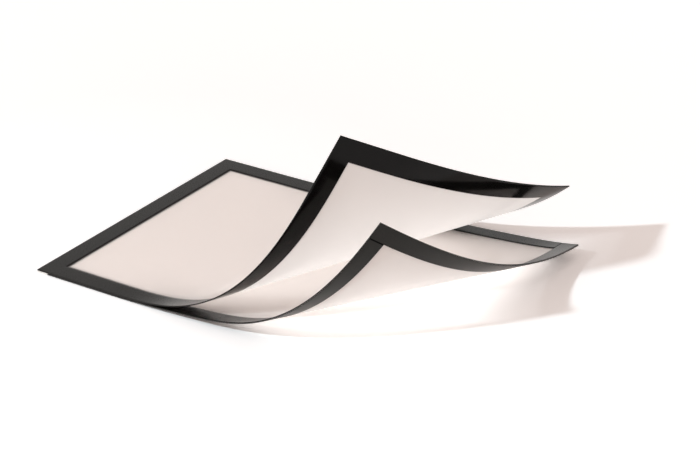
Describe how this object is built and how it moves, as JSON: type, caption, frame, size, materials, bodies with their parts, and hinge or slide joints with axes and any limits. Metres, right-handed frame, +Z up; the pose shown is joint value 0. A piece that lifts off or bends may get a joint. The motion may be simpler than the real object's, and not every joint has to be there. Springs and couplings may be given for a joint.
{
  "type": "magnetic document pocket",
  "caption": "A4 magnetic document pocket lying open: two flexible film sheets with black magnetic borders, taped at one short side, free ends curled up.",
  "frame": {"origin": "on the table, under the middle of the taped hinge joint, on the back film's underside", "axes": "+X from the hinge side to the free side, +Y along the hinge side from the near to the far long edge, +Z up"},
  "size_m": [0.3225, 0.2417, 0.1508],
  "materials": {
    "film": "translucent frosted film, with a glossy printed black border on the cover",
    "cover_strip": "satin dark grey magnetic rubber",
    "back_strip": "matt black magnetic rubber",
    "tape": "matt white double-sided foam tape"
  },
  "bodies": {
    "root": {"back_film": "film", "back_strip_near": "back_strip", "back_strip_far": "back_strip", "back_strip_free": "back_strip", "hinge_tape": "tape", "cover_film": "film", "cover_strip_hinge": "cover_strip", "cover_strip_near": "cover_strip", "cover_strip_far": "cover_strip", "cover_strip_free": "cover_strip"}
  },
  "joints": []
}
